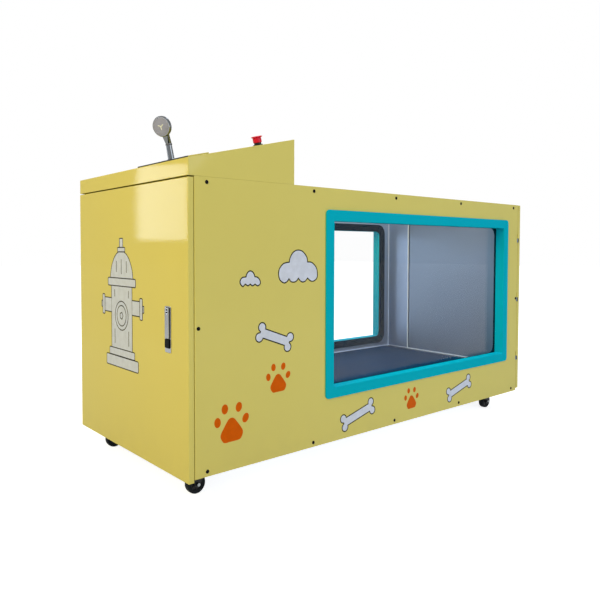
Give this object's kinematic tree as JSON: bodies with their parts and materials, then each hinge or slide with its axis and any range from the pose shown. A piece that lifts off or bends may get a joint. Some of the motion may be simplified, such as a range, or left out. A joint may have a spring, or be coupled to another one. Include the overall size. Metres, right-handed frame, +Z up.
{
  "type": "underwater dog treadmill",
  "caption": "Water treadmill for dogs: a long painted tank with framed side windows, a running belt inside, an end entry door, a pump bay with a service door, a sloped console and casters.",
  "frame": {"origin": "on the floor, under the middle of the body", "axes": "+X runs along the tank towards the entry door, -X is the control end with the console; +Y is towards the rear window, -Y is the decorated window side; +Z is up"},
  "size_m": [2.166, 0.937, 1.3965],
  "materials": {
    "yellow_paint": "gloss powder coat",
    "teal_paint": "satin powder coat",
    "stainless": "brushed",
    "dark_steel": "semi-gloss black paint",
    "roller_alloy": "turned",
    "bright_chrome": "polished",
    "black_rubber": "matt",
    "belt_rubber": "matt, fine-textured",
    "black_plastic": "moulded",
    "grey_plastic": "moulded",
    "red_plastic": "gloss",
    "blue_paint": "semi-gloss paint",
    "bed_plastic": "smooth low-friction sheet",
    "clear_glass": "clear",
    "fork_steel": "black zinc"
  },
  "bodies": {
    "tank": {"base_rail_front": "dark_steel", "base_rail_rear": "dark_steel", "base_cross_left": "dark_steel", "base_cross_right": "dark_steel", "side_panel_front": "yellow_paint", "side_panel_rear": "yellow_paint", "tank_wall_front": "stainless", "tank_wall_rear": "stainless", "tank_floor": "stainless", "tank_bulkhead": "stainless", "service_door_frame": "stainless", "entry_door_frame": "stainless", "window_frame_front": "teal_paint", "window_frame_rear": "teal_paint", "window_glass_front": "clear_glass", "window_glass_rear": "clear_glass", "window_gasket_front": "black_rubber", "window_gasket_rear": "black_rubber", "slider_bed": "bed_plastic", "running_belt": "belt_rubber", "tail_axle": "stainless", "drive_bearing_front": "grey_plastic", "drive_bearing_rear": "grey_plastic", "drive_motor": "blue_paint", "timing_belt": "black_rubber", "console_shell": "yellow_paint", "control_panel": "black_plastic", "shower_holder": "bright_chrome", "estop_collar": "black_plastic", "circulation_pump": "black_plastic", "filter_housing": "grey_plastic", "filter_pipe": "grey_plastic", "control_box": "grey_plastic", "drain_valve": "bright_chrome"},
    "service_door": {"service_door": "yellow_paint"},
    "latch_cam": {"latch_cam": "bright_chrome"},
    "latch_lever": {"latch_lever": "bright_chrome"},
    "latch_button": {"latch_button": "black_plastic"},
    "entry_door": {"entry_door_panel": "yellow_paint", "entry_door_liner": "stainless", "entry_door_seal": "black_rubber"},
    "entry_latch_upper": {"entry_latch_upper": "bright_chrome"},
    "entry_latch_lower": {"entry_latch_lower": "bright_chrome"},
    "drive_roller": {"drive_roller": "roller_alloy", "drive_pulley": "dark_steel"},
    "tail_roller": {"tail_roller": "roller_alloy"},
    "motor_pulley": {"motor_pulley": "dark_steel"},
    "estop_head": {"estop_head": "red_plastic"},
    "shower_handset": {"shower_handset": "bright_chrome"},
    "drain_valve_lever": {"drain_valve_lever": "red_plastic"},
    "caster_fork_front_left": {"caster_fork_front_left": "fork_steel"},
    "caster_wheel_front_left": {"caster_wheel_front_left": "black_rubber"},
    "caster_fork_front_right": {"caster_fork_front_right": "fork_steel"},
    "caster_wheel_front_right": {"caster_wheel_front_right": "black_rubber"},
    "caster_fork_rear_left": {"caster_fork_rear_left": "fork_steel"},
    "caster_wheel_rear_left": {"caster_wheel_rear_left": "black_rubber"},
    "caster_fork_rear_right": {"caster_fork_rear_right": "fork_steel"},
    "caster_wheel_rear_right": {"caster_wheel_rear_right": "black_rubber"},
    "brake_pedal_front_left": {"brake_pedal_front_left": "black_plastic"},
    "brake_pedal_front_right": {"brake_pedal_front_right": "black_plastic"}
  },
  "joints": [
    {"name": "service_door_hinge", "type": "hinge", "parent": "tank", "child": "service_door", "pos_m": [-1.051, 0.4625, 0.6], "axis": [0, 0, -1], "range_deg": [0, 110]},
    {"name": "latch_turn", "type": "hinge", "parent": "service_door", "child": "latch_cam", "pos_m": [-1.0797, -0.3285, 0.6695], "axis": [1, 0, 0], "range_deg": [0, 90]},
    {"name": "latch_lift", "type": "hinge", "parent": "latch_cam", "child": "latch_lever", "pos_m": [-1.0797, -0.3285, 0.6695], "axis": [0, 1, 0], "range_deg": [0, 30]},
    {"name": "latch_button_push", "type": "slide", "parent": "service_door", "child": "latch_button", "axis": [1, 0, 0], "range_m": [0, 0.0025], "stiffness_N_per_m": 400},
    {"name": "entry_door_hinge", "type": "hinge", "parent": "tank", "child": "entry_door", "pos_m": [1.051, -0.4625, 0.62], "axis": [0, 0, -1], "range_deg": [0, 110]},
    {"name": "entry_latch_upper_turn", "type": "hinge", "parent": "entry_door", "child": "entry_latch_upper", "pos_m": [1.083, 0.4, 0.86], "axis": [-1, 0, 0], "range_deg": [0, 90]},
    {"name": "entry_latch_lower_turn", "type": "hinge", "parent": "entry_door", "child": "entry_latch_lower", "pos_m": [1.083, 0.4, 0.42], "axis": [-1, 0, 0], "range_deg": [0, 90]},
    {"name": "drive_roller_spin", "type": "hinge", "parent": "tank", "child": "drive_roller", "pos_m": [-0.457, 0, 0.21], "axis": [0, 1, 0], "continuous": true},
    {"name": "tail_roller_spin", "type": "hinge", "parent": "tank", "child": "tail_roller", "pos_m": [0.928, 0, 0.21], "axis": [0, 1, 0], "continuous": true},
    {"name": "motor_pulley_spin", "type": "hinge", "parent": "tank", "child": "motor_pulley", "pos_m": [-0.72, 0, 0.3], "axis": [0, 1, 0], "continuous": true},
    {"name": "estop_push", "type": "slide", "parent": "tank", "child": "estop_head", "axis": [0.2313, 0, -0.9729], "range_m": [0, 0.005]},
    {"name": "shower_lift", "type": "slide", "parent": "tank", "child": "shower_handset", "axis": [-0.1908, 0, 0.9816], "range_m": [0, 0.16]},
    {"name": "drain_valve_turn", "type": "hinge", "parent": "tank", "child": "drain_valve_lever", "pos_m": [-0.615, -0.06, 0.2573], "axis": [0, 0, -1], "range_deg": [0, 90]},
    {"name": "caster_swivel_front_left", "type": "hinge", "parent": "tank", "child": "caster_fork_front_left", "pos_m": [-0.9525, -0.3425, 0.09], "axis": [0, 0, 1], "continuous": true},
    {"name": "caster_spin_front_left", "type": "hinge", "parent": "caster_fork_front_left", "child": "caster_wheel_front_left", "pos_m": [-0.9765, -0.3425, 0.0375], "axis": [0, 1, 0], "continuous": true},
    {"name": "brake_press_front_left", "type": "hinge", "parent": "caster_fork_front_left", "child": "brake_pedal_front_left", "pos_m": [-0.9965, -0.3425, 0.0745], "axis": [0, -1, 0], "range_deg": [0, 15]},
    {"name": "caster_swivel_front_right", "type": "hinge", "parent": "tank", "child": "caster_fork_front_right", "pos_m": [0.9525, -0.3425, 0.09], "axis": [0, 0, 1], "continuous": true},
    {"name": "caster_spin_front_right", "type": "hinge", "parent": "caster_fork_front_right", "child": "caster_wheel_front_right", "pos_m": [0.9285, -0.3425, 0.0375], "axis": [0, 1, 0], "continuous": true},
    {"name": "brake_press_front_right", "type": "hinge", "parent": "caster_fork_front_right", "child": "brake_pedal_front_right", "pos_m": [0.9085, -0.3425, 0.0745], "axis": [0, -1, 0], "range_deg": [0, 15]},
    {"name": "caster_swivel_rear_left", "type": "hinge", "parent": "tank", "child": "caster_fork_rear_left", "pos_m": [-0.9525, 0.3425, 0.09], "axis": [0, 0, 1], "continuous": true},
    {"name": "caster_spin_rear_left", "type": "hinge", "parent": "caster_fork_rear_left", "child": "caster_wheel_rear_left", "pos_m": [-0.9765, 0.3425, 0.0375], "axis": [0, 1, 0], "continuous": true},
    {"name": "caster_swivel_rear_right", "type": "hinge", "parent": "tank", "child": "caster_fork_rear_right", "pos_m": [0.9525, 0.3425, 0.09], "axis": [0, 0, 1], "continuous": true},
    {"name": "caster_spin_rear_right", "type": "hinge", "parent": "caster_fork_rear_right", "child": "caster_wheel_rear_right", "pos_m": [0.9285, 0.3425, 0.0375], "axis": [0, 1, 0], "continuous": true}
  ],
  "couplings": [
    {"joint": "tail_roller_spin", "follows": "drive_roller_spin", "ratio": 1},
    {"joint": "motor_pulley_spin", "follows": "drive_roller_spin", "ratio": 1.8}
  ]
}
